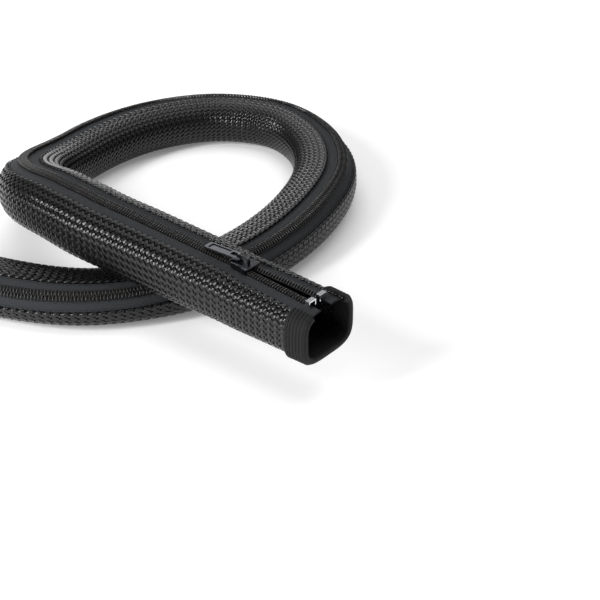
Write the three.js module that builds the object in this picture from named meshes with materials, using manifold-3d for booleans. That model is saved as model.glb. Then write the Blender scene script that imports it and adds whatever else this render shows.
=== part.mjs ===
// A zippered cable sleeve: a black braided tube, slit along its length and closed by a coil zipper,
// lying as one loose loop with its open end crossing over the loop.
// Millimetres, +Z up. The straight front stretch runs along X and its open mouth looks towards +X.
// A place on the sleeve is (along, round, depth): distance from the mouth along the middle line,
// distance round the skin from the middle of the zipper, and depth under the skin.
import * as THREE from "three";
import { mergeVertices } from "three/addons/utils/BufferGeometryUtils.js";
import Module from "manifold-3d";

const wasm = await Module();
wasm.setup();

const girth = 96; // once round the closed sleeve
const clearance = 0.3; // between pieces that lie on each other

// The route of the middle line seen from above, from the mouth to the far end.
const route = [
  [0, 0], [-40, 0], [-80, 0], [-120, 0], [-160, 0], [-207, 12], [-240, 44], [-254, 90],
  [-249, 133], [-225, 168], [-188, 185], [-150, 178], [-121, 153], [-105, 117], [-98, 78],
  [-101, 38], [-115, 0], [-142, -31], [-181, -51], [-226, -59], [-272, -60], [-320, -60],
];

const braid = {
  thickness: 0.9,
  edge: 9.7, // half the width of the zipper strip that shows between the braid's edges
  relief: 0.35, // how far a crossing of the bands stands out
  foldRise: 0.35, // the turned-in edge beside the tape
  rows: 110, // crossings along
  columns: 18, // crossings round
  liningRows: 55,
};

const tape = {
  thickness: 0.7,
  inner: 1.3, // from the middle of the closed zipper to the tape's edge
  flat: 7.9, // the shown strip is level to here
  outer: 13.5, // the hidden edge, sewn under the braid
  crown: 0.5, // the shown strip lies this much nearer to the skin
  seam: 1, // lining beyond the hidden edge
  endGap: 2,
};

const coil = {
  width: 2.9,
  height: 2.1,
  seat: 0.45, // over the tape
  shoulder: 0.6,
  headReach: 0.45, // each head passes the middle line by this
  pitch: 7.0,
  endGap: 5,
};

const hem = { width: 11, insideWidth: 9, thickness: 1.0, overlap: 1.2 };

// How the sleeve lies along its length: height of its underside over the floor, its own height,
// how square its section is (2 is an ellipse), and how far the zipper is turned outwards (degrees).
const pressedHeight = 22.2; // where the front stretch lies on the loop
const crossingGap = 1;
const frontLift = pressedHeight + crossingGap;
const hemStand = braid.foldRise + clearance + hem.thickness; // the far hem rests on the floor
const lie = [
  { along: 0, lift: frontLift, height: 25.5, square: 3.8, turn: 0 },
  { along: 160, lift: frontLift, height: 30.5, square: 3.0, turn: 0 },
  { along: 178, lift: frontLift, height: 30.5, square: 2.9, turn: 2 },
  { along: 300, lift: 0, height: 26, square: 2.5, turn: 40 },
  { along: 560, lift: 0, height: 25, square: 2.4, turn: 46 },
  { along: 630, lift: 0, height: pressedHeight, square: 2.5, turn: 48 },
  { along: 690, lift: 0, height: pressedHeight, square: 2.5, turn: 54 },
  { along: 760, lift: 0, height: 25, square: 2.6, turn: 60 },
  { along: 880, lift: hemStand, height: 25, square: 3.0, turn: 60 },
];

const slider = {
  at: 52,
  length: 12.4,
  tailHalfWidth: 4.6,
  mouthHalfWidth: 5.3,
  shoulder: 1.6,
  plate: 1.2,
  bevel: 0.3,
  flange: 0.7,
  postHalfWidth: 0.6,
  postFrom: 2.3,
  postTo: 4.9,
  bridgeWidth: 1.8,
  bridgeFront: 3.0,
  bridgeBack: -4.2,
  bridgeThickness: 1.0,
};

// From the slider to the mouth the two halves of the zipper lie this far apart, each side.
const spread = { atPost: 1.3, atMouth: 3.0, start: 1 };

const tab = {
  length: 22,
  width: 6.2,
  thickness: 1.6,
  bevel: 0.3,
  barRadius: 0.65,
  hinge: -2.2, // place of its bar along the slider
  slotLength: 6.0,
  slotHalfWidth: 1.35,
  rim: 1.1,
  recess: 0.45,
};

const stop = { length: 2.6, wall: 0.5, at: 7.6 };

const colour = {
  braid: 0x16181a, tape: 0x2b2d2f, coil: 0x1f2123, hem: 0x1c1d1e, slider: 0x232427, metal: 0xc9ccd0,
};

const { lerp, degToRad, euclideanModulo, clamp } = THREE.MathUtils;

// The middle line by its length.

const line = new THREE.CatmullRomCurve3(route.map(([x, y]) => new THREE.Vector3(x, y, 0)), false, "centripetal");
line.arcLengthDivisions = 1600;
const length = line.getLength();
const up = new THREE.Vector3(0, 0, 1);

function lieAt(along) {
  const next = lie.findIndex((key) => key.along > along);
  if (next < 0) return lie[lie.length - 1];
  const [a, b] = [lie[next - 1], lie[next]];
  const t = (along - a.along) / (b.along - a.along);
  const eased = a.turn === b.turn ? t : t * t * (3 - 2 * t);
  const mix = (name) => lerp(a[name], b[name], eased);
  return { lift: mix("lift"), height: mix("height"), square: mix("square"), turn: mix("turn") };
}

// The halves part inside the slider, round its post, and then drift apart up to the mouth.
function spreadAt(along) {
  const closed = slider.at + spread.start;
  const post = slider.at - slider.postFrom;
  if (along >= closed) return 0;
  if (along > post) return spread.atPost * THREE.MathUtils.smoothstep(closed - along, 0, closed - post);
  return lerp(spread.atPost, spread.atMouth, (post - Math.max(0, along)) / post);
}

// A section is a squared ellipse, as points clockwise from its top with their distance round it.

const outlineSteps = 160;

function outline(halfWidth, halfHeight, square) {
  const bow = (v) => Math.sign(v) * Math.pow(Math.abs(v), 2 / square);
  const points = [];
  const distance = [0];
  for (let i = 0; i <= outlineSteps; i++) {
    const angle = (i / outlineSteps) * 2 * Math.PI;
    points.push(new THREE.Vector2(halfWidth * bow(Math.sin(angle)), halfHeight * bow(Math.cos(angle))));
    if (i > 0) distance.push(distance[i - 1] + points[i].distanceTo(points[i - 1]));
  }
  return { points, distance, total: distance[outlineSteps] };
}

// The section that has this height and measures this much once round.
function sectionWith(total, halfHeight, square) {
  let halfWidth = total / 8;
  for (let i = 0; i < 12; i++) halfWidth += (total - outline(halfWidth, halfHeight, square).total) / 4;
  return outline(halfWidth, halfHeight, square);
}

const stations = new Map();

function stationAt(along) {
  const key = along.toFixed(4);
  if (stations.has(key)) return stations.get(key);
  const inside = clamp(along / length, 0, 1);
  const heading = line.getTangentAt(inside);
  const middle = line.getPointAt(inside).addScaledVector(heading, along - inside * length);
  const { lift, height, square, turn } = lieAt(Math.max(0, along));
  middle.z = lift + height / 2;
  const side = new THREE.Vector3().crossVectors(heading, up);
  const total = girth + 2 * spreadAt(along);
  const shape = sectionWith(total, height / 2, square);
  // The zipper's middle is where the outline's point lies at the turn's angle, outwards from the top.
  let start = 0;
  if (turn > 0) {
    const wanted = -degToRad(turn);
    const angleOf = (point) => Math.atan2(point.x, point.y);
    const i = shape.points.findIndex((point, n) => n > outlineSteps / 2 && angleOf(point) >= wanted);
    const [a, b] = [angleOf(shape.points[i - 1]), angleOf(shape.points[i])];
    start = lerp(shape.distance[i - 1], shape.distance[i], (wanted - a) / (b - a));
  }
  const station = { middle, side, shape, start };
  stations.set(key, station);
  return station;
}

function place(along, round, depth) {
  const { middle, side, shape, start } = stationAt(along);
  const wanted = euclideanModulo(start + round, shape.total);
  let [low, high] = [0, outlineSteps];
  while (high - low > 1) {
    const half = (low + high) >> 1;
    if (shape.distance[half] <= wanted) low = half;
    else high = half;
  }
  const t = (wanted - shape.distance[low]) / (shape.distance[high] - shape.distance[low]);
  const flat = shape.points[low].clone().lerp(shape.points[high], t);
  const before = shape.points[(low + outlineSteps - 1) % outlineSteps];
  const after = shape.points[(high + 1) % outlineSteps];
  const run = after.clone().sub(before).normalize();
  flat.addScaledVector(new THREE.Vector2(run.y, -run.x), depth);
  return middle.clone().addScaledVector(side, flat.x).addScaledVector(up, flat.y);
}

// Closed solids from rows of points.

class Surface {
  constructor() {
    this.corners = [];
  }
  triangle(a, b, c) {
    this.corners.push(a, b, c);
  }
  grid(rows) {
    for (let i = 0; i + 1 < rows.length; i++) {
      for (let j = 0; j + 1 < rows[i].length; j++) {
        this.triangle(rows[i][j], rows[i][j + 1], rows[i + 1][j + 1]);
        this.triangle(rows[i][j], rows[i + 1][j + 1], rows[i + 1][j]);
      }
    }
  }
  // A strip between two lines that may have different numbers of points.
  join(first, second) {
    let [i, j] = [0, 0];
    while (i + 1 < first.length || j + 1 < second.length) {
      const nextI = (i + 1) / (first.length - 1);
      const nextJ = (j + 1) / (second.length - 1);
      if (j + 1 >= second.length || (i + 1 < first.length && nextI <= nextJ)) {
        this.triangle(first[i], second[j], first[i + 1]);
        i++;
      } else {
        this.triangle(first[i], second[j], second[j + 1]);
        j++;
      }
    }
  }
  solid() {
    return solidFrom(new THREE.BufferGeometry().setFromPoints(this.corners));
  }
}

function solidFrom(geometry) {
  const bare = geometry.clone();
  bare.deleteAttribute("normal");
  bare.deleteAttribute("uv");
  const merged = mergeVertices(bare, 1e-4);
  const vertProperties = merged.attributes.position.array;
  const triVerts = new Uint32Array(merged.index.array);
  const made = new wasm.Manifold(new wasm.Mesh({ numProp: 3, vertProperties, triVerts }));
  if (made.volume() > 0) return made;
  for (let i = 0; i < triVerts.length; i += 3) {
    [triVerts[i + 1], triVerts[i + 2]] = [triVerts[i + 2], triVerts[i + 1]];
  }
  return new wasm.Manifold(new wasm.Mesh({ numProp: 3, vertProperties, triVerts }));
}

function geometryOf(solid) {
  const mesh = solid.getMesh();
  const geometry = new THREE.BufferGeometry();
  geometry.setAttribute("position", new THREE.BufferAttribute(mesh.vertProperties, mesh.numProp));
  geometry.setIndex(new THREE.BufferAttribute(mesh.triVerts, 1));
  return geometry;
}

const spaced = (from, to, count) => Array.from({ length: count + 1 }, (_, i) => lerp(from, to, i / count));

// The triangles that fill a flat outline, turned the same way as the outline.
function filling(points) {
  const contour = points.map(([x, y]) => new THREE.Vector2(x, y));
  const faces = THREE.ShapeUtils.triangulateShape(contour, []);
  const firstArea = THREE.ShapeUtils.area(faces[0].map((i) => contour[i]));
  const sameWay = firstArea > 0 === THREE.ShapeUtils.area(contour) > 0;
  return sameWay ? faces : faces.map(([a, b, c]) => [a, c, b]);
}

// A solid through rings, each drawn as a flat outline and put in its place by toPlace.
function lofted(count, outlineAt, toPlace) {
  const rings = Array.from({ length: count }, (_, i) => outlineAt(i).map((point) => toPlace(i, point)));
  const surface = new Surface();
  surface.grid(rings.map((ring) => [...ring, ring[0]]));
  const [first, last] = [rings[0], rings[count - 1]];
  for (const [a, b, c] of filling(outlineAt(0))) surface.triangle(first[a], first[c], first[b]);
  for (const [a, b, c] of filling(outlineAt(count - 1))) surface.triangle(last[a], last[b], last[c]);
  return surface.solid();
}

function loftedAlong(alongs, outlineAt) {
  return lofted(alongs.length, (i) => outlineAt(alongs[i], i), (i, [round, depth]) => place(alongs[i], round, depth));
}

// Depths of the layers under the skin. Above the skin they are negative.
const hiddenTape = braid.thickness + clearance;
const shownTape = hiddenTape - tape.crown;
const coilFoot = shownTape - coil.seat;
const coilTop = coilFoot - coil.height;

// The marks round the braid's outside and round its lining, as many of each. What lies against
// either side shares them.
function skinMarks(along) {
  const edge = braid.edge + spreadAt(along);
  return spaced(edge, girth + 2 * spreadAt(along) - edge, braid.columns);
}

function liningMarks(along) {
  const apart = spreadAt(along);
  const [edge, seam] = [braid.edge + apart, tape.outer + tape.seam + apart];
  const half = (edge + seam) / 2;
  const total = girth + 2 * apart;
  return [edge, half, ...spaced(seam, total - seam, braid.columns - 4), total - half, total - edge];
}

// The tube, slit along the zipper. Its crossings stand out as diamonds, and its slit edges as ridges.
function braidedTube() {
  const outer = spaced(0, length, braid.rows).map((along, i) =>
    skinMarks(along).map((round, j) => {
      const crossing = (i + j) % 2 === 0 ? 0 : braid.relief;
      return place(along, round, j === 0 || j === braid.columns ? -braid.foldRise : crossing);
    }),
  );
  const inner = spaced(0, length, braid.liningRows).map((along) =>
    liningMarks(along).map((round) => place(along, round, braid.thickness)),
  );
  const surface = new Surface();
  surface.grid(outer);
  surface.grid(inner.map((row) => [...row].reverse()));
  const firstOf = (rows) => rows.map((row) => row[0]);
  const lastOf = (rows) => rows.map((row) => row[row.length - 1]);
  surface.join(firstOf(inner), firstOf(outer));
  surface.join(lastOf(outer), lastOf(inner));
  surface.join(outer[0], inner[0]);
  surface.join(inner[inner.length - 1], outer[outer.length - 1]);
  return surface.solid();
}

// One half of the woven tape. side is 1 for the right half, seen from outside the mouth, or -1.
function tapeHalf(side) {
  const alongs = spaced(0, length, braid.liningRows);
  alongs[0] = tape.endGap;
  alongs[braid.liningRows] = length - tape.endGap;
  return loftedAlong(alongs, (along) => {
    const apart = spreadAt(along);
    const [edge, half] = liningMarks(along);
    const shown = [tape.inner + apart, tape.flat + apart].map((round) => [side * round, shownTape]);
    const hidden = [edge, half, tape.outer + apart].map((round) => [side * round, hiddenTape]);
    const top = [...shown, ...hidden];
    const under = top.map(([round, depth]) => [round, depth + tape.thickness]).reverse();
    return [...top, ...under];
  });
}

// One half of the coil. Its heads reach past the middle line, between those of the other half.
function coilHalf(side) {
  const half = coil.pitch / 2;
  const count = Math.floor((length - 2 * coil.endGap) / half);
  const first = (length - count * half) / 2;
  const valley = coil.headReach + 1.2 * clearance;
  return loftedAlong(spaced(first, first + count * half, count), (along, i) => {
    const isHead = (i % 2 === 0) === side > 0;
    const inner = spreadAt(along) + (isHead ? -coil.headReach : valley);
    const outer = spreadAt(along) + coil.width;
    const flat = [
      [inner, coilFoot], [inner, coilTop + coil.shoulder], [lerp(inner, outer, 0.5), coilTop],
      [outer, coilTop + coil.shoulder], [outer, coilFoot],
    ];
    return flat.map(([round, depth]) => [side * round, depth]);
  });
}

// A binding folded round the end of the braid. inwards is 1 at the mouth and -1 at the far end.
function endHem(end, inwards) {
  const outside = -braid.foldRise - clearance;
  const overTape = hiddenTape + tape.thickness + clearance;
  const overLining = braid.thickness + clearance;
  const last = braid.columns;
  const onTape = (i) => i <= 2 || i >= last - 2;
  const outlineAt = (i) => {
    const inside = onTape(i) ? overTape : overLining;
    return [
      [hem.width, outside], [hem.width, outside - hem.thickness],
      [-clearance - hem.thickness, outside - hem.thickness],
      [-clearance - hem.thickness, inside + hem.thickness],
      [hem.insideWidth, inside + hem.thickness], [hem.insideWidth, inside],
      [-clearance, inside], [-clearance, outside],
    ];
  };
  // It reaches a little past the slit's edges, onto the tape.
  const rings = [[0, -hem.overlap], ...spaced(0, last, last).map((i) => [i, 0]), [last, hem.overlap]];
  return lofted(rings.length, (ring) => outlineAt(rings[ring][0]), (ring, [run, depth]) => {
    const [i, beyond] = rings[ring];
    const along = end + inwards * run;
    const marks = depth < 0 ? skinMarks(along) : liningMarks(along);
    return place(along, marks[i] + beyond, depth);
  });
}

// Pieces on the zipper are drawn in a frame on its strip: +X to the mouth, +Z out of the skin.
function frameOnStrip(along) {
  const reach = 6;
  const x = place(along - reach, 0, 0).sub(place(along + reach, 0, 0)).normalize();
  const across = place(along, 2, 0).sub(place(along, -2, 0));
  const z = new THREE.Vector3().crossVectors(x, across).normalize();
  const y = new THREE.Vector3().crossVectors(z, x);
  const group = new THREE.Group();
  group.quaternion.setFromRotationMatrix(new THREE.Matrix4().makeBasis(x, y, z));
  group.position.copy(place(along, 0, 0));
  return group;
}

function extruded(shape, from, to, bevel = 0) {
  const settings = {
    depth: to - from - 2 * bevel, curveSegments: 4,
    bevelEnabled: bevel > 0, bevelThickness: bevel, bevelSize: bevel, bevelOffset: -bevel, bevelSegments: 1,
  };
  return solidFrom(new THREE.ExtrudeGeometry(shape, settings).translate(0, 0, from + bevel));
}

function block([x0, x1], [y0, y1], [z0, z1]) {
  const box = new THREE.BoxGeometry(x1 - x0, y1 - y0, z1 - z0);
  return solidFrom(box.translate((x0 + x1) / 2, (y0 + y1) / 2, (z0 + z1) / 2));
}

// Heights on the strip, out of the skin.
const crownLow = clearance - coilTop;
const crownHigh = crownLow + slider.plate;
const soleHigh = -shownTape - tape.thickness - 2 * clearance;
const soleLow = soleHigh - slider.plate;
const flangeLow = 2 * clearance - shownTape;
const hingeHeight = crownHigh + 2 * clearance + tab.thickness / 2;
const bridgeHigh = hingeHeight + tab.barRadius + clearance + slider.bridgeThickness;

// The slider seen from above: a narrow tail, shoulders, and a wider end with the two throats.
function plateShape(inset) {
  const [back, front] = [-slider.length / 2, slider.length / 2];
  const [tail, mouth] = [slider.tailHalfWidth - inset, slider.mouthHalfWidth - inset];
  const { shoulder } = slider;
  const shape = new THREE.Shape();
  shape.moveTo(back + shoulder, -tail);
  shape.lineTo(0, -tail);
  shape.quadraticCurveTo(shoulder, -tail, 1.4 * shoulder, -mouth);
  shape.lineTo(front - shoulder, -mouth);
  shape.quadraticCurveTo(front, -mouth, front, shoulder - mouth);
  shape.lineTo(front, mouth - shoulder);
  shape.quadraticCurveTo(front, mouth, front - shoulder, mouth);
  shape.lineTo(1.4 * shoulder, mouth);
  shape.quadraticCurveTo(shoulder, tail, 0, tail);
  shape.lineTo(back + shoulder, tail);
  shape.quadraticCurveTo(back, tail, back, tail - shoulder);
  shape.lineTo(back, shoulder - tail);
  shape.quadraticCurveTo(back, -tail, back + shoulder, -tail);
  return shape;
}

// The arch that holds the tab, seen from the side, and the eye under it.
function archShape(wall) {
  const [back, front, high] = [slider.bridgeBack + wall, slider.bridgeFront - wall, bridgeHigh - wall];
  const corner = 1.2 * slider.bridgeThickness - 0.5 * wall;
  const shape = new THREE.Shape();
  shape.moveTo(back, 0);
  shape.lineTo(back, high - corner);
  shape.quadraticCurveTo(back, high, back + corner, high);
  shape.lineTo(front - corner, high);
  shape.quadraticCurveTo(front, high, front, high - corner);
  shape.lineTo(front, 0);
  return shape;
}

function sliderBody() {
  const { postHalfWidth, bevel, shoulder } = slider;
  const crown = extruded(plateShape(0), crownLow, crownHigh, bevel);
  const sole = extruded(plateShape(0), soleLow, soleHigh, bevel);
  const postSides = [-postHalfWidth, postHalfWidth];
  const post = block([slider.postFrom, slider.postTo], postSides, [soleHigh - bevel, crownHigh - bevel]);
  // The flanges fold down beside the coils and leave a slot for the tape.
  const band = [flangeLow, crownLow + bevel];
  const wall = extruded(plateShape(0), ...band).subtract(extruded(plateShape(slider.flange), ...band));
  const reach = slider.length / 2 - shoulder;
  const flanges = wall.intersect(block([-reach, reach], [-20, 20], band));
  const across = (shape, width) => {
    const standing = extruded(shape, -width / 2, width / 2);
    return standing.transform(new THREE.Matrix4().makeRotationX(Math.PI / 2).elements);
  };
  const above = (low) => block([-20, 20], [-20, 20], [low, bridgeHigh + 1]);
  const arch = across(archShape(0), slider.bridgeWidth).intersect(above(crownHigh - bevel));
  const eye = across(archShape(slider.bridgeThickness), 2 * slider.bridgeWidth).intersect(above(crownHigh));
  return crown.add(sole).add(post).add(flanges).add(arch.subtract(eye));
}

// The tab lies back over the closed chain. Its bar turns under the slider's arch.
function pullTab() {
  const { length: long, thickness, bevel, barRadius, slotLength, slotHalfWidth, rim, recess } = tab;
  const half = tab.width / 2;
  const [front, round] = [barRadius, 2];
  const plan = new THREE.Shape();
  plan.moveTo(front, 0.6 * half);
  plan.lineTo(-slotLength / 2, half);
  plan.lineTo(round - long, half);
  plan.quadraticCurveTo(-long, half, -long, half - round);
  plan.lineTo(-long, round - half);
  plan.quadraticCurveTo(-long, -half, round - long, -half);
  plan.lineTo(-slotLength / 2, -half);
  plan.lineTo(front, -0.6 * half);
  const plate = extruded(plan, -thickness / 2, thickness / 2, bevel);
  const slot = block([-slotLength, 2 * front], [-slotHalfWidth, slotHalfWidth], [-thickness, thickness]);
  const bar = solidFrom(new THREE.CylinderGeometry(barRadius, barRadius, 2 * slotHalfWidth + 0.4, 14));
  const panel = (heights) => block([2 * rim - long, -slotLength - rim], [rim - half, half - rim], heights);
  const face = thickness / 2 - recess;
  return plate.subtract(slot).add(bar).subtract(panel([face, thickness])).subtract(panel([-thickness, -face]));
}

// A metal clip bent over the end of one coil, or of both.
function clip(inner) {
  const [low, high] = [clearance - shownTape, clearance - coilTop];
  const { wall } = stop;
  const half = inner / 2 + wall;
  const run = [-stop.length / 2, stop.length / 2];
  const outside = block(run, [-half, half], [low, high + wall]);
  return outside.subtract(block([-stop.length, stop.length], [-inner / 2, inner / 2], [low - wall, high]));
}

// Assembly.

const fabric = new THREE.MeshStandardMaterial({ color: colour.tape, roughness: 0.85 });
const nylon = new THREE.MeshStandardMaterial({ color: colour.coil, roughness: 0.4 });
const binding = new THREE.MeshStandardMaterial({ color: colour.hem, roughness: 0.9 });
const monofilament = new THREE.MeshStandardMaterial({ color: colour.braid, roughness: 0.35 });
const blackMetal = new THREE.MeshStandardMaterial({ color: colour.slider, roughness: 0.3, metalness: 0.6 });
const brightMetal = new THREE.MeshStandardMaterial({ color: colour.metal, roughness: 0.25, metalness: 1 });

function named(name, solid, material) {
  const mesh = new THREE.Mesh(geometryOf(solid), material);
  mesh.name = name;
  return mesh;
}

const sleeve = new THREE.Group();
sleeve.add(named("braid_sleeve", braidedTube(), monofilament));
sleeve.add(named("mouth_hem", endHem(0, 1), binding));
sleeve.add(named("far_hem", endHem(length, -1), binding));

const stopInner = coil.width + coil.headReach + 2 * clearance;
for (const [hand, side] of [["left", -1], ["right", 1]]) {
  sleeve.add(named(`zip_tape_${hand}`, tapeHalf(side), fabric));
  sleeve.add(named(`zip_coil_${hand}`, coilHalf(side), nylon));
  const topStop = named(`top_stop_${hand}`, clip(stopInner), brightMetal);
  topStop.position.y = side * (spreadAt(stop.at) + (coil.width - coil.headReach) / 2);
  sleeve.add(frameOnStrip(stop.at).add(topStop));
}
const bottomStop = named("bottom_stop", clip(2 * coil.width + 4 * clearance), brightMetal);
sleeve.add(frameOnStrip(length - stop.at).add(bottomStop));

const onSlider = frameOnStrip(slider.at);
onSlider.name = "slider_frame";
onSlider.add(named("slider_body", sliderBody(), blackMetal));
const pull = named("pull_tab", pullTab(), blackMetal);
pull.position.set(tab.hinge, 0, hingeHeight);
// Its free end leans down until it lies just over the coils.
pull.rotation.y = -Math.asin((hingeHeight - tab.thickness / 2 - crownLow) / tab.length);
sleeve.add(onSlider.add(pull));

// The origin is on the floor, under the middle of the whole.
sleeve.updateMatrixWorld(true);
const whole = new THREE.Box3().setFromObject(sleeve, true);
const centre = whole.getCenter(new THREE.Vector3());
sleeve.position.set(-centre.x, -centre.y, -whole.min.z);

export default sleeve;
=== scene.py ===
import math

import bmesh
import bpy
import numpy as np
from mathutils import Matrix, Vector


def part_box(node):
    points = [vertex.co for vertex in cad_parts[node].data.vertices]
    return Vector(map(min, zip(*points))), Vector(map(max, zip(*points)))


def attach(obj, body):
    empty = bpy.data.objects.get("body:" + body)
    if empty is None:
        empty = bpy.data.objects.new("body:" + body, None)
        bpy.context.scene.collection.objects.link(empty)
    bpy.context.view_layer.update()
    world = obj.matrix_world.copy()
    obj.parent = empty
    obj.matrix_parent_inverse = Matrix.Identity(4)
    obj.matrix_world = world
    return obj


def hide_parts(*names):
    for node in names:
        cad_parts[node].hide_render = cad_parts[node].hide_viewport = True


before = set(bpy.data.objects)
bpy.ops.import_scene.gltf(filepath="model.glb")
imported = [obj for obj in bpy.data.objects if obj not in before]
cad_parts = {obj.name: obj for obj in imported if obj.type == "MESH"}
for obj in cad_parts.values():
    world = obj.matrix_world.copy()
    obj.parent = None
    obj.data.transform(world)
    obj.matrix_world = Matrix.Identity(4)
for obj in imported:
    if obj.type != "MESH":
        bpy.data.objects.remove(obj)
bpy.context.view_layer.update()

mm = 0.001  # the frame is in metres, and the sizes below are in millimetres

# How the sleeve lies: its middle line seen from above, mouth first, then along that line the height
# of its underside, its own height, how square its section is, how far the zipper turns outwards and
# how far its girth swells. The swell stands proud of the CAD solid's sides.
sleeve = {
    "girth": 96.0,
    "frontLift": 23.2,
    "pressed": 22.2,
    "tailLift": 1.65,
    "route": [
        (0, 0), (-40, 0), (-80, 0), (-120, 0), (-160, 0), (-209, 9), (-242, 41), (-254, 89),
        (-248, 135), (-225, 171), (-190, 187), (-154, 178), (-125, 153), (-108, 118), (-101, 80),
        (-104, 40), (-118, 2), (-144, -29), (-183, -50), (-227, -58), (-272, -60), (-320, -60),
    ],
    "slit": 9.7,  # half the zipper strip that shows between the braid's edges
    "closedAt": 53.0,  # from here on the zipper is closed
    "postAt": 49.7,
    "postSpread": 1.3,
    "mouthSpread": 3.0,
    "endGap": 0.4,  # how far the braid and the painted-shade sheet behind it stop short of each end
}
lie = [
    (0, sleeve["frontLift"], 25.5, 3.8, 0, 3),
    (80, sleeve["frontLift"], 28.0, 3.4, 0, 20),
    (160, sleeve["frontLift"], 30.5, 3.0, 0, 26),
    (178, sleeve["frontLift"], 30.5, 2.9, 2, 24),
    (300, 0, 26.0, 2.5, 38, 0),
    (420, 0, 26.0, 2.4, 40, -8),
    (550, 0, 26.0, 2.4, 43, 10),
    (630, 0, sleeve["pressed"], 2.5, 48, 8),
    (690, 0, sleeve["pressed"], 2.5, 57, 2),
    (760, 0, 26.0, 2.6, 62, 0),
    (880, sleeve["tailLift"], 25.0, 3.0, 60, 0),
]

sliderLow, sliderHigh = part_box("slider_body")
braidLow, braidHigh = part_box("braid_sleeve")
# The route's first point.
mouthPlace = Vector((braidHigh.x / mm, (sliderLow.y + sliderHigh.y) / 2 / mm, 0))


def routeSamples(points, perSegment=400):
    points = np.array(points, float)
    ends = np.vstack([2 * points[0] - points[1], points, 2 * points[-1] - points[-2]])
    t = np.linspace(0, 1, perSegment, endpoint=False)[:, None]
    samples = []
    for i in range(len(points) - 1):
        a, b, c, d = ends[i:i + 4]
        first, middle, last = (math.sqrt(np.linalg.norm(q - p)) for p, q in ((a, b), (b, c), (c, d)))
        leave = ((b - a) / first - (c - a) / (first + middle) + (c - b) / middle) * middle
        arrive = ((c - b) / middle - (d - b) / (middle + last) + (d - c) / last) * middle
        samples.append(b + leave * t + (3 * c - 3 * b - 2 * leave - arrive) * t**2
                       + (2 * b - 2 * c + leave + arrive) * t**3)
    return np.vstack(samples + [points[-1:]])


def smooth(t):
    t = np.clip(t, 0, 1)
    return t * t * (3 - 2 * t)


def spreadAt(along):
    along = np.asarray(along, float)
    parted = (sleeve["closedAt"] - along) / (sleeve["closedAt"] - sleeve["postAt"])
    inSlider = sleeve["postSpread"] * smooth(parted)
    open_ = np.clip((sleeve["postAt"] - along) / sleeve["postAt"], 0, 1)
    return inSlider + (sleeve["mouthSpread"] - sleeve["postSpread"]) * open_


# The braid follows the zipper's edges more softly than the tapes do.
softAlong = np.arange(-30.0, 130.0, 0.5)
softWindow = np.hanning(41) / np.hanning(41).sum()
softSpread = np.convolve(spreadAt(np.clip(softAlong, 0, None)), softWindow, "same")
softSpread[:21], softSpread[-21:] = softSpread[21], 0


def braidSpread(along):
    return np.interp(along, softAlong, softSpread)


def lieAt(along):
    keys = np.array(lie, float)
    i = np.clip(np.searchsorted(keys[:, 0], along, side="right") - 1, 0, len(keys) - 2)
    t = np.clip((along - keys[i, 0]) / (keys[i + 1, 0] - keys[i, 0]), 0, 1)
    eased = np.where(keys[i, 4] == keys[i + 1, 4], t, smooth(t))[:, None]
    return (keys[i, 1:] * (1 - eased) + keys[i + 1, 1:] * eased).T


def girthAt(along):
    swell = lieAt(np.ravel(along))[4].reshape(np.shape(along))
    return sleeve["girth"] + swell + 2 * braidSpread(along)


# The skin as a table of points: one row a millimetre along, one column a share of the way round.
reach = 4.0
samples = routeSamples(sleeve["route"])
runLength = np.concatenate([[0], np.cumsum(np.linalg.norm(np.diff(samples, axis=0), axis=1))])
total = runLength[-1]
tableAlong = np.linspace(-reach, total + reach, int(total + 2 * reach) + 1)
columns = 288


def skinTable():
    def onRoute(along):
        along = np.clip(along, 0, total)
        return np.stack([np.interp(along, runLength, samples[:, k]) for k in (0, 1)], axis=1)

    inside = np.clip(tableAlong, 0, total)
    middle = onRoute(inside)
    ahead, behind = onRoute(inside + 0.5), onRoute(inside - 0.5)
    heading = (ahead - behind) / np.linalg.norm(ahead - behind, axis=1)[:, None]
    middle += heading * (tableAlong - inside)[:, None]
    side = np.stack([heading[:, 1], -heading[:, 0]], axis=1)  # to the right of the way along
    lift, height, square, turn, _ = lieAt(tableAlong)
    angle = np.linspace(0, 2 * math.pi, 361)
    power = (2 / square)[:, None]
    bowX = np.sign(np.sin(angle)) * np.abs(np.sin(angle)) ** power
    bowY = np.sign(np.cos(angle)) * np.abs(np.cos(angle)) ** power
    wanted = girthAt(tableAlong)
    halfWidth = wanted / 8
    for _ in range(14):
        x, y = halfWidth[:, None] * bowX, (height / 2)[:, None] * bowY
        pieceLength = np.hypot(np.diff(x, axis=1), np.diff(y, axis=1))
        halfWidth = halfWidth + (wanted - pieceLength.sum(axis=1)) / 4
    shares = np.linspace(0, 1, columns + 1)
    points = np.zeros((len(tableAlong), columns + 1, 3))
    normals = np.zeros_like(points)
    for i in range(len(tableAlong)):
        distance = np.concatenate([[0], np.cumsum(pieceLength[i])])
        start = 0
        if turn[i] > 0:
            back = angle > math.pi
            start = np.interp(-math.radians(turn[i]), np.arctan2(x[i], y[i])[back], distance[back])
        round_ = (start + shares * distance[-1]) % distance[-1]
        flatX, flatY = np.interp(round_, distance, x[i]), np.interp(round_, distance, y[i])
        runX, runY = np.gradient(flatX[:-1]), np.gradient(flatY[:-1])
        runX[0], runY[0] = flatX[1] - flatX[-2], flatY[1] - flatY[-2]
        runX[-1], runY[-1] = flatX[0] - flatX[-3], flatY[0] - flatY[-3]
        size = np.hypot(runX, runY)
        outX, outY = np.append(-runY / size, -runY[0] / size[0]), np.append(runX / size, runX[0] / size[0])
        points[i, :, :2] = middle[i] + flatX[:, None] * side[i]
        points[i, :, 2] = lift[i] + height[i] / 2 + flatY
        normals[i, :, :2] = outX[:, None] * side[i]
        normals[i, :, 2] = outY
    return points + np.array(mouthPlace), normals


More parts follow.
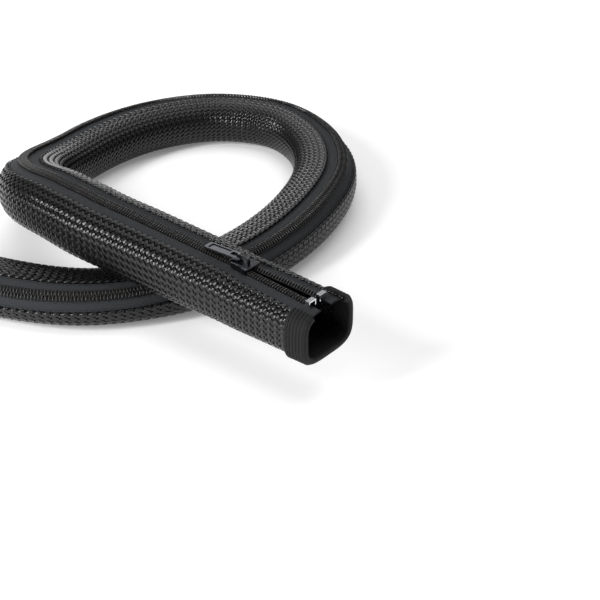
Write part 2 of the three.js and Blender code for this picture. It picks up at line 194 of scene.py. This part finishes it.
skinPoints, skinNormals = skinTable()
print("skin table", skinPoints.shape, "sleeve length", round(total, 1))


# From (along, round, depth) to a place in metres. Round is measured from the middle of the zipper.
def place(along, round_, depth):
    along, round_, depth = np.broadcast_arrays(*(np.asarray(v, float) for v in (along, round_, depth)))
    row = np.clip(np.interp(along, tableAlong, np.arange(len(tableAlong))), 0, len(tableAlong) - 1.001)
    column = ((round_ / girthAt(along)) % 1) * columns
    i, j = row.astype(int), np.minimum(column.astype(int), columns - 1)
    f, g = (row - i)[..., None], (column - j)[..., None]

    def mixed(table):
        low = table[i, j] * (1 - g) + table[i, j + 1] * g
        high = table[i + 1, j] * (1 - g) + table[i + 1, j + 1] * g
        return low * (1 - f) + high * f

    return (mixed(skinPoints) - mixed(skinNormals) * depth[..., None]) * mm


# Camera, at the photograph's viewing angle.
camera = {
    "azimuth": 39.5,
    "elevation": 32.0,
    "lens": 100.0,
    "pixelsPerMm": 2.13,
    "anchor": (0, -12, 24),  # this place beside the mouth, in the route's frame
    "anchorPixel": (312, 362),
    "imageSize": 600,
}


def makeCamera():
    azimuth, elevation = math.radians(camera["azimuth"]), math.radians(camera["elevation"])
    back = Vector((math.sin(azimuth) * math.cos(elevation), -math.cos(azimuth) * math.cos(elevation),
                   math.sin(elevation)))
    right = Vector((math.cos(azimuth), math.sin(azimuth), 0))
    up = back.cross(right)
    data = bpy.data.cameras.new("camera")
    data.lens = camera["lens"]
    data.clip_end = 20
    focal = data.lens / data.sensor_width * camera["imageSize"]
    distance = focal / camera["pixelsPerMm"]
    acrossX = (camera["anchorPixel"][0] - camera["imageSize"] / 2) / focal * distance
    acrossY = -(camera["anchorPixel"][1] - camera["imageSize"] / 2) / focal * distance
    anchor = Vector(camera["anchor"]) + mouthPlace
    seen = bpy.data.objects.new("camera", data)
    turn = Matrix((right, up, back)).transposed().to_4x4()
    eye = anchor + back * distance - right * acrossX - up * acrossY
    seen.matrix_world = Matrix.Translation(eye * mm) @ turn
    bpy.context.collection.objects.link(seen)
    bpy.context.scene.camera = seen


makeCamera()


# Meshes on the skin. A grid's own x, y and z become places through a mapping.
def newObject(name, mesh, material, nodes=(), body="sleeve"):
    piece = bpy.data.objects.new(name, mesh)
    bpy.context.collection.objects.link(piece)
    if material:
        mesh.materials.append(material)
    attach(piece, body)
    if nodes:
        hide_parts(*nodes)
    return piece


def gridMesh(name, segments, layers, mapping, uvOf=None, closed=False):
    shape = bmesh.new()
    for layer in range(layers):
        bmesh.ops.create_grid(shape, x_segments=segments[0], y_segments=segments[1], size=0.5,
                              matrix=Matrix.Translation((0, 0, layer)))
    mesh = bpy.data.meshes.new(name)
    shape.to_mesh(mesh)
    flat = np.zeros(len(mesh.vertices) * 3)
    mesh.vertices.foreach_get("co", flat)
    x, y, z = flat.reshape(-1, 3).T
    mesh.vertices.foreach_set("co", mapping(x + 0.5, y + 0.5, np.round(z).astype(int)).ravel())
    if uvOf:
        corner = np.zeros(len(mesh.loops), np.int32)
        mesh.loops.foreach_get("vertex_index", corner)
        uv = np.stack(uvOf(x + 0.5, y + 0.5, np.round(z).astype(int)), axis=1)[corner]
        mesh.uv_layers.new(name="UVMap").data.foreach_set("uv", uv.ravel())
    if closed:
        shape.clear()
        shape.from_mesh(mesh)
        bmesh.ops.remove_doubles(shape, verts=shape.verts, dist=1e-7)
        bmesh.ops.holes_fill(shape, edges=shape.edges, sides=0)
        bmesh.ops.recalc_face_normals(shape, faces=shape.faces)
        shape.to_mesh(mesh)
    shape.free()
    mesh.polygons.foreach_set("use_smooth", np.ones(len(mesh.polygons), bool))
    return mesh


# Shader node groups that several materials share.
def nodeGroup(name, inputs, outputs):
    group = bpy.data.node_groups.new(name, "ShaderNodeTree")
    for label, kind, value in inputs:
        socket = group.interface.new_socket(name=label, in_out="INPUT", socket_type=kind)
        if value is not None:
            socket.default_value = value
    for label, kind in outputs:
        group.interface.new_socket(name=label, in_out="OUTPUT", socket_type=kind)
    return group, group.nodes.new("NodeGroupInput"), group.nodes.new("NodeGroupOutput")


def mathNode(tree, operation, first, second=None):
    node = tree.nodes.new("ShaderNodeMath")
    node.operation = operation
    for i, value in enumerate((first, second)):
        if value is None:
            continue
        if isinstance(value, bpy.types.NodeSocket):
            tree.links.new(value, node.inputs[i])
        else:
            node.inputs[i].default_value = value
    return node.outputs[0]


# Fine ridges across U: the single filaments of a band, or the cords of a woven tape.
def makeRidges():
    group, inside, outside = nodeGroup(
        "ridges",
        [("Vector", "NodeSocketVector", None), ("Count", "NodeSocketFloat", 8.0),
         ("Waviness", "NodeSocketFloat", 0.3)],
        [("Height", "NodeSocketFloat")],
    )
    split = group.nodes.new("ShaderNodeSeparateXYZ")
    group.links.new(inside.outputs["Vector"], split.inputs[0])
    noise = group.nodes.new("ShaderNodeTexNoise")
    noise.inputs["Scale"].default_value = 0.35
    group.links.new(inside.outputs["Vector"], noise.inputs["Vector"])
    wander = mathNode(group, "MULTIPLY", noise.outputs["Fac"], inside.outputs["Waviness"])
    place_ = mathNode(group, "ADD", split.outputs["X"], wander)
    turns = mathNode(group, "MULTIPLY", place_, inside.outputs["Count"])
    wave = mathNode(group, "SINE", mathNode(group, "MULTIPLY", turns, 2 * math.pi))
    group.links.new(mathNode(group, "ABSOLUTE", wave), outside.inputs["Height"])
    return group


# Plain weave in UV: threads along U and V, over and under by turns. Its mask is 1 on the raised cells,
# which the tapes and hems colour lighter than the sunken ones as painted light and shade.
def makeWeave():
    group, inside, outside = nodeGroup(
        "weave",
        [("Vector", "NodeSocketVector", None), ("Scale", "NodeSocketFloat", 1.0)],
        [("Height", "NodeSocketFloat"), ("Mask", "NodeSocketFloat")],
    )
    split = group.nodes.new("ShaderNodeSeparateXYZ")
    group.links.new(inside.outputs["Vector"], split.inputs[0])
    waves = []
    for axis in ("X", "Y"):
        turns = mathNode(group, "MULTIPLY", split.outputs[axis], inside.outputs["Scale"])
        waves.append(mathNode(group, "SINE", mathNode(group, "MULTIPLY", turns, 2 * math.pi)))
    both = mathNode(group, "MULTIPLY", waves[0], waves[1])
    group.links.new(both, outside.inputs["Height"])
    group.links.new(mathNode(group, "GREATER_THAN", both, 0.0), outside.inputs["Mask"])
    return group


ridges = makeRidges()
weave = makeWeave()


def newMaterial(name, color, roughness, metallic=0.0, specular=0.5):
    material = bpy.data.materials.new(name)
    material.use_nodes = True
    shader = material.node_tree.nodes["Principled BSDF"]
    shader.inputs["Base Color"].default_value = (*color, 1)
    shader.inputs["Roughness"].default_value = roughness
    shader.inputs["Metallic"].default_value = metallic
    shader.inputs["Specular IOR Level"].default_value = specular
    return material, material.node_tree, shader


def addBump(tree, shader, height, strength, distance):
    bump = tree.nodes.new("ShaderNodeBump")
    bump.inputs["Strength"].default_value = strength
    bump.inputs["Distance"].default_value = distance * mm
    tree.links.new(height, bump.inputs["Height"])
    tree.links.new(bump.outputs["Normal"], shader.inputs["Normal"])


def uvNode(tree):
    node = tree.nodes.new("ShaderNodeUVMap")
    node.uv_map = "UVMap"
    return node.outputs["UV"]


def placed(tree, group, **values):
    node = tree.nodes.new("ShaderNodeGroup")
    node.node_tree = group
    for label, value in values.items():
        if isinstance(value, bpy.types.NodeSocket):
            tree.links.new(value, node.inputs[label])
        else:
            node.inputs[label].default_value = value
    return node


def colourBetween(tree, factor, first, second):
    mix = tree.nodes.new("ShaderNodeMix")
    mix.data_type = "RGBA"
    tree.links.new(factor, mix.inputs["Factor"])
    mix.inputs["A"].default_value = (*first, 1)
    mix.inputs["B"].default_value = (*second, 1)
    return mix.outputs["Result"]


def noiseFactor(tree, scale, detail=3.0):
    coordinates = tree.nodes.new("ShaderNodeTexCoord")
    noise = tree.nodes.new("ShaderNodeTexNoise")
    noise.inputs["Scale"].default_value = scale
    noise.inputs["Detail"].default_value = detail
    tree.links.new(coordinates.outputs["Object"], noise.inputs["Vector"])
    return noise.outputs["Fac"]


def vectorInMm(tree):
    coordinates = tree.nodes.new("ShaderNodeTexCoord")
    scale = tree.nodes.new("ShaderNodeMapping")
    scale.inputs["Scale"].default_value = (1 / mm, 1 / mm, 1 / mm)
    tree.links.new(coordinates.outputs["Object"], scale.inputs["Vector"])
    return scale.outputs["Vector"]


# The braid: flat bands of shiny black monofilament, crossing over and under each other.
braid = {
    "pitchAlong": 4.0,
    "pitchRound": 2.85,
    "width": {1: 1.95, -1: 1.35},  # the family that shows, and the one that it binds down
    "swing": {1: 0.4, -1: 0.3},
    "crown": 0.1,
    "foldRadius": 0.7,
    "foldRise": 0.5,
    "foldReach": 1.5,
    "segmentsPerPitch": 6,
    "acrossSegments": 3,
    "filaments": 7,  # in each band
    "colour": (0.006, 0.006, 0.0065),
    "worn": (0.01, 0.0095, 0.009),
    "roughness": 0.18,
    "specular": 0.34,
}
slitWidth = sleeve["girth"] - 2 * sleeve["slit"]


# How far the swell stretches the braid's own width.
def stretchAt(along):
    return (girthAt(along) - 2 * (sleeve["slit"] + braidSpread(along))) / slitWidth


# Q runs over the braid from one slit edge to the other. Beyond each edge it turns in round the fold.
def braidPlace(along, q, lift):
    fromEdge = np.minimum(q, slitWidth - q)
    fromEdge = np.where(fromEdge > 0, fromEdge * stretchAt(along), fromEdge)
    hand = np.where(q < slitWidth / 2, 1.0, -1.0)
    turn = np.clip(-fromEdge, 0, math.pi * braid["foldRadius"]) / braid["foldRadius"]
    rise = braid["foldRise"] * np.exp(-(np.clip(fromEdge, 0, None) / braid["foldReach"]) ** 2)
    edge = sleeve["slit"] + braidSpread(along)
    radius = braid["foldRadius"] + lift
    round_ = edge + np.clip(fromEdge, 0, None) - radius * np.sin(turn)
    depth = -rise + braid["foldRadius"] - radius * np.cos(turn)
    return place(along, hand * round_, depth)


def makeBraidMaterial():
    material, tree, shader = newMaterial("black monofilament", braid["colour"], braid["roughness"],
                                         specular=braid["specular"])
    filaments = placed(tree, ridges, Vector=uvNode(tree), Count=braid["filaments"] / 2, Waviness=0.05)
    addBump(tree, shader, filaments.outputs["Height"], 0.15, 0.12)
    colour = colourBetween(tree, noiseFactor(tree, 60.0), braid["colour"], braid["worn"])
    tree.links.new(colour, shader.inputs["Base Color"])
    return material


def makeBraid(material):
    pitch, rows = braid["pitchAlong"], braid["pitchRound"]
    slope = rows / pitch
    turnIn = math.pi * braid["foldRadius"]
    span = (slitWidth + 2 * turnIn) / slope
    steepness = math.atan(slope)
    bandsEach = int((total + span) / pitch)
    half = bandsEach // 2 + 1
    segments = (int(span / pitch * braid["segmentsPerPitch"]), braid["acrossSegments"])
    for hand in (1, -1):
        for part in (0, 1):
            first = part * half
            count = min(half, bandsEach - first)
            begin = (first + 1 + np.arange(count)) * pitch - span  # along where each band enters
            enter = np.clip(begin, sleeve["endGap"], total - sleeve["endGap"])
            leave = np.clip(begin + span, sleeve["endGap"], total - sleeve["endGap"])

            def onBand(x, y, band):
                middle = enter[band] + x * (leave[band] - enter[band])
                across = (y - 0.5) * braid["width"][hand]
                q = (middle - begin[band]) * slope - turnIn
                if hand < 0:
                    q = slitWidth - q
                along = middle - hand * across * math.sin(steepness)
                q = q + across * math.cos(steepness) / stretchAt(along)
                return middle, across, along, q

            def mapping(x, y, band):
                middle, across, along, q = onBand(x, y, band)
                weaveLift = hand * braid["swing"][hand] * np.cos(2 * math.pi * (middle - span / 2) / pitch)
                crown = braid["crown"] * (1 - (2 * across / braid["width"][hand]) ** 2)
                return braidPlace(along, q, weaveLift + crown - braid["crown"])

            def uvOf(x, y, band):
                middle = onBand(x, y, band)[0]
                return y, middle / braid["width"][hand]

            name = f"braid_bands_{'right' if hand > 0 else 'left'}_{part + 1}"
            mesh = gridMesh(name, segments, count, mapping, uvOf)
            newObject(name, mesh, material, ["braid_sleeve"])
            print(name, "bands", count, "faces", len(mesh.polygons))


braidMaterial = makeBraidMaterial()
makeBraid(braidMaterial)


# A near-black sheet behind the bands, with the same diamonds pressed into it: painted shade for the shaded
# inside of the sleeve that shows between the bands.
shadeSheet = {"depth": 0.75, "thickness": 0.3, "edgeGap": 0.1, "colour": (0.004, 0.004, 0.0045)}


def makeShadeSheet():
    # The sheet's near-black colour is painted shade, not a layer of the real sleeve.
    material, tree, shader = newMaterial("shadeSheet", shadeSheet["colour"], 0.5, specular=0.15)
    pattern = placed(tree, weave, Vector=uvNode(tree), Scale=1.0)
    addBump(tree, shader, pattern.outputs["Height"], 0.8, 0.4)

    def mapping(x, y, layer):
        along = sleeve["endGap"] + x * (total - 2 * sleeve["endGap"])
        edge = sleeve["slit"] + braidSpread(along) + shadeSheet["edgeGap"]
        return place(along, edge + y * (girthAt(along) - 2 * edge), shadeSheet["depth"])

    def uvOf(x, y, layer):
        return x * total / braid["pitchAlong"], y * slitWidth / braid["pitchRound"]

    mesh = gridMesh("braid_shade_sheet", (460, 48), 1, mapping, uvOf)
    piece = newObject("braid_shade_sheet", mesh, material, ["braid_sleeve"])
    wall = piece.modifiers.new("wall", "SOLIDIFY")
    wall.thickness = shadeSheet["thickness"] * mm
    wall.offset = 0
    print("lining done")


makeShadeSheet()


# The zipper's two woven tapes.
tape = {
    "inner": 0.9,
    "outer": 12.5,
    "endGap": 1.2,
    "thread": 0.9,
    "shownDepth": 0.75,
    "hiddenDepth": 1.05,
    "thickness": 0.45,
    "colour": (0.05, 0.054, 0.058),
    # painted shade for the sunken cells of the weave
    "sunkenShade": (0.016, 0.017, 0.019),
}


def makeTapes():
    material, tree, shader = newMaterial("woven tape", tape["colour"], 0.8, specular=0.12)
    uv = uvNode(tree)
    threads = placed(tree, weave, Vector=uv, Scale=1.0)
    cords = placed(tree, ridges, Vector=uv, Count=0.5, Waviness=0.0)
    both = mathNode(tree, "ADD", threads.outputs["Height"], cords.outputs["Height"])
    addBump(tree, shader, both, 0.7, 0.15)
    # The sunken cells of the weave take a painted shade, the raised ones the tape's own colour.
    colour = colourBetween(tree, threads.outputs["Mask"], tape["sunkenShade"], tape["colour"])
    tree.links.new(colour, shader.inputs["Base Color"])
    for hand, name in ((-1, "zip_tape_left"), (1, "zip_tape_right")):
        def mapping(x, y, layer):
            along = tape["endGap"] + x * (total - 2 * tape["endGap"])
            across = tape["inner"] + y * (tape["outer"] - tape["inner"])
            hidden = smooth(across / 9 - 0.1)
            depth = tape["shownDepth"] + (tape["hiddenDepth"] - tape["shownDepth"]) * hidden
            return place(along, hand * (across + spreadAt(along)), depth)

        def uvOf(x, y, layer):
            return y * (tape["outer"] - tape["inner"]) / tape["thread"], x * total / tape["thread"]

        mesh = gridMesh(name + "_woven", (700, 10), 1, mapping, uvOf)
        piece = newObject(name + "_woven", mesh, material, [name])
        wall = piece.modifiers.new("wall", "SOLIDIFY")
        wall.thickness = tape["thickness"] * mm
        wall.offset = 0
    print("tapes done")


makeTapes()


# Round cords laid along a path of (along, round, height over the skin).
def cordMesh(name, along, round_, height, radius, sides=1):
    points = place(along, round_, -np.asarray(height))
    curve = bpy.data.curves.new(name, "CURVE")
    curve.dimensions = "3D"
    curve.bevel_depth = radius * mm
    curve.bevel_resolution = sides
    curve.use_fill_caps = True
    spline = curve.splines.new("POLY")
    spline.points.add(len(points) - 1)
    spline.points.foreach_set("co", np.hstack([points, np.ones((len(points), 1))]).ravel())
    holder = bpy.data.objects.new(name + "_path", curve)
    bpy.context.collection.objects.link(holder)
    mesh = bpy.data.meshes.new_from_object(holder.evaluated_get(bpy.context.evaluated_depsgraph_get()))
    bpy.data.objects.remove(holder)
    bpy.data.curves.remove(curve)
    mesh.name = name
    mesh.polygons.foreach_set("use_smooth", np.ones(len(mesh.polygons), bool))
    return mesh


# The nylon coils: one continuous thread each, wound into flat loops whose heads mesh at the middle.
coil = {
    "pitch": 1.6,
    "radius": 0.4,
    "low": -0.35,
    "high": 1.25,
    "head": -0.4,
    "foot": 2.6,
    "pointsPerTurn": 10,
    "from": 9.0,
    "colour": (0.01, 0.0095, 0.009),
    "worn": (0.02, 0.018, 0.017),
}


def makeCoils():
    material, tree, shader = newMaterial("nylon coil", coil["colour"], 0.3, specular=0.4)
    colour = colourBetween(tree, noiseFactor(tree, 400.0), coil["colour"], coil["worn"])
    tree.links.new(colour, shader.inputs["Base Color"])
    for hand, name in ((-1, "zip_coil_left"), (1, "zip_coil_right")):
        turns = int((total - 2 * coil["from"]) / coil["pitch"])
        phase = np.arange(turns * coil["pointsPerTurn"]) * 2 * math.pi / coil["pointsPerTurn"]
        along = coil["from"] + (phase / (2 * math.pi) + 0.25 * hand) * coil["pitch"]
        squared = np.sign(np.cos(phase)) * np.abs(np.cos(phase)) ** 0.7
        across = (coil["head"] + coil["foot"]) / 2 - squared * (coil["foot"] - coil["head"]) / 2
        height = (coil["low"] + coil["high"]) / 2 + np.sin(phase) * (coil["high"] - coil["low"]) / 2
        mesh = cordMesh(name + "_turns", along, hand * (across + spreadAt(along)), height, coil["radius"])
        newObject(name + "_turns", mesh, material, [name])
        print(name, "turns", turns, "faces", len(mesh.polygons))


makeCoils()


# Sewing threads: the seams beside the braid's folds, and those that hold the coils on their tapes.
thread = {
    "stitch": 2.6,
    "radius": 0.17,
    "pointsPerStitch": 6,
    "from": 12.0,
    "rows": [("tape_seam", 8.3, -0.55, 0.28), ("coil_seam", 3.5, -0.4, 0.22)],  # across, base and rise
    "colour": (0.02, 0.021, 0.023),
}


def makeSeams():
    material, tree, shader = newMaterial("sewing thread", thread["colour"], 0.6)
    twist = placed(tree, ridges, Vector=vectorInMm(tree), Count=2.0, Waviness=0.2)
    addBump(tree, shader, twist.outputs["Height"], 0.4, 0.05)
    for label, across, base, rise in thread["rows"]:
        for hand, side in ((-1, "left"), (1, "right")):
            count = int((total - 2 * thread["from"]) / thread["stitch"]) * thread["pointsPerStitch"]
            phase = np.arange(count) * 2 * math.pi / thread["pointsPerStitch"]
            along = thread["from"] + phase / (2 * math.pi) * thread["stitch"]
            height = base + rise * np.clip(np.sin(phase) + 0.4, -0.4, 0.7)
            round_ = hand * (across + spreadAt(along))
            mesh = cordMesh(f"{label}_{side}", along, round_, height, thread["radius"], 0)
            newObject(f"{label}_{side}", mesh, material)
    print("seams done")


makeSeams()


# The hems: ribbed binding folded over each end of the braid, with a row of stitches.
hem = {
    "width": 11.5,
    "inside": 9.0,
    "outerDepth": -0.75,
    "innerDepth": 1.35,
    "thickness": 0.6,
    "lip": 1.0,
    "lipInside": 0.4,
    "overlap": 1.0,
    "ribPitch": 1.9,
    "ribHeight": 0.6,
    "seamRun": 9.9,
    "grooveDepth": 0.35,
    "colour": (0.007, 0.007, 0.0075),
    # painted light for the raised cells of the weave
    "raisedLight": (0.016, 0.016, 0.017),
}


# The folded tape's section as (run, depth): out along the outside, round the lip and back inside.
def hemSection():
    w, inside, t = hem["width"], hem["inside"], hem["thickness"]
    top, bottom, lip = hem["outerDepth"], hem["innerDepth"], hem["lip"]
    middle, radius = (top + bottom) / 2, (bottom - top) / 2
    ribs = np.linspace(w, 0, 84)
    rise = hem["ribHeight"] * np.abs(np.sin(math.pi * ribs / hem["ribPitch"]))
    groove = hem["grooveDepth"] * np.exp(-((ribs - hem["seamRun"]) / 0.35) ** 2)
    angle = np.linspace(math.pi / 2, -math.pi / 2, 16)
    outer = [np.stack([ribs, top - t - rise + groove], 1)]
    outer.append(np.stack([-lip * np.cos(angle), middle - (radius + t) * np.sin(angle)], 1))
    outer.append(np.array([[inside, bottom + t]]))
    inner = [np.array([[inside, bottom]])]
    inner.append(np.stack([-hem["lipInside"] * np.cos(angle), middle + radius * np.sin(angle)], 1))
    inner.append(np.array([[w, top]]))
    return np.vstack(outer + inner + [outer[0][:1]])


def makeHems():
    material, tree, shader = newMaterial("binding tape", hem["colour"], 0.6, specular=0.2)
    threads = placed(tree, weave, Vector=uvNode(tree), Scale=1.0)
    addBump(tree, shader, threads.outputs["Height"], 0.6, 0.1)
    # The raised cells of the weave take a painted highlight, the sunken ones the binding's own colour.
    colour = colourBetween(tree, threads.outputs["Mask"], hem["colour"], hem["raisedLight"])
    tree.links.new(colour, shader.inputs["Base Color"])
    section = hemSection()
    share = np.linspace(0, 1, len(section))
    for name, end, inwards in (("mouth_hem", 0.0, 1), ("far_hem", total, -1)):
        def mapping(x, y, layer):
            run, depth = np.interp(x, share, section[:, 0]), np.interp(x, share, section[:, 1])
            along = end + inwards * run
            first = sleeve["slit"] - hem["overlap"] + braidSpread(along)
            return place(along, first + y * (girthAt(along) - 2 * first), depth)

        def uvOf(x, y, layer):
            return x * 90, y * 110

        mesh = gridMesh(name + "_binding", (len(section) - 1, 150), 1, mapping, uvOf, closed=True)
        newObject(name + "_binding", mesh, material, [name])


# One row of stitches round each hem, in the groove near its inner edge.
def makeHemSeams():
    material = bpy.data.materials["sewing thread"]
    for name, end, inwards in (("mouth_seam", 0.0, 1), ("far_seam", total, -1)):
        along = end + inwards * hem["seamRun"]
        first = sleeve["slit"] + 0.6 + float(braidSpread(along))
        reachRound = float(girthAt(along)) - 2 * first
        count = int(reachRound / thread["stitch"]) * thread["pointsPerStitch"]
        phase = np.arange(count) * 2 * math.pi / thread["pointsPerStitch"]
        height = 1.5 + 0.4 * np.clip(np.sin(phase) + 0.4, -0.6, 0.7)
        around = first + phase / (2 * math.pi) * thread["stitch"]
        mesh = cordMesh(name, np.full(count, along), around, height, thread["radius"] * 1.2, 0)
        newObject(name, mesh, material)
    print("hems done")


makeHems()
makeHemSeams()


# The metal pieces keep their solids and take their finish here.
metal = {
    "gunmetal": {"colour": (0.085, 0.087, 0.095), "roughness": 0.22, "grain": 900.0, "bump": 0.05,
                 "nodes": ("slider_body", "pull_tab")},
    "bright plate": {"colour": (0.8, 0.81, 0.83), "roughness": 0.18, "grain": 1200.0, "bump": 0.06,
                     "nodes": ("top_stop_left", "top_stop_right", "bottom_stop")},
}


def makeMetals():
    for name, finish in metal.items():
        material, tree, shader = newMaterial(name, finish["colour"], finish["roughness"], metallic=1.0)
        addBump(tree, shader, noiseFactor(tree, finish["grain"]), finish["bump"], 0.05)
        for node in finish["nodes"]:
            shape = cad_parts[node]
            shape.data.materials.clear()
            shape.data.materials.append(material)
    print("metals done")


makeMetals()


# A white floor and plain soft light.
studio = {
    "floor": 0.94,
    "glow": 0.16,
    "sky": 0.25,
    "lamps": [  # place in metres, size and power
        ("key", (-0.3, -1.05, 0.5), (0.25, 0.9), 20.0),
        ("top", (-0.1, 0.3, 1.3), (1.6, 1.6), 12.0),
        ("back", (-1.0, 1.0, 0.4), (0.7, 0.7), 4.0),
    ],
}


def makeStudio():
    floor = bmesh.new()
    bmesh.ops.create_grid(floor, x_segments=1, y_segments=1, size=6)
    mesh = bpy.data.meshes.new("floor")
    floor.to_mesh(mesh)
    floor.free()
    ground = bpy.data.objects.new("floor", mesh)
    ground.location.z = -0.0004
    bpy.context.collection.objects.link(ground)
    material, tree, shader = newMaterial("white floor", (studio["floor"],) * 3, 0.8)
    mesh.materials.append(material)
    rays = tree.nodes.new("ShaderNodeLightPath").outputs
    seen = mathNode(tree, "MAXIMUM", rays["Is Camera Ray"], rays["Is Glossy Ray"])
    seen = mathNode(tree, "MAXIMUM", seen, rays["Is Transmission Ray"])
    shader.inputs["Emission Color"].default_value = (1, 1, 1, 1)
    tree.links.new(mathNode(tree, "MULTIPLY", seen, studio["glow"]), shader.inputs["Emission Strength"])
    world = bpy.data.worlds.new("studio")
    world.use_nodes = True
    bpy.context.scene.world = world
    tree = world.node_tree
    background = tree.nodes["Background"]
    background.inputs["Color"].default_value = (1, 1, 1, 1)
    background.inputs["Strength"].default_value = studio["sky"]
    for name, spot, size, power in studio["lamps"]:
        data = bpy.data.lights.new(name, "AREA")
        data.shape = "RECTANGLE"
        data.size, data.size_y = size
        data.energy = power
        lamp = bpy.data.objects.new(name, data)
        lamp.location = spot
        lamp.rotation_euler = (Vector((0, 0, 0)) - lamp.location).to_track_quat("-Z", "Y").to_euler()
        bpy.context.collection.objects.link(lamp)
    print("studio done")


makeStudio()
bpy.context.scene.view_settings.view_transform = "Standard"
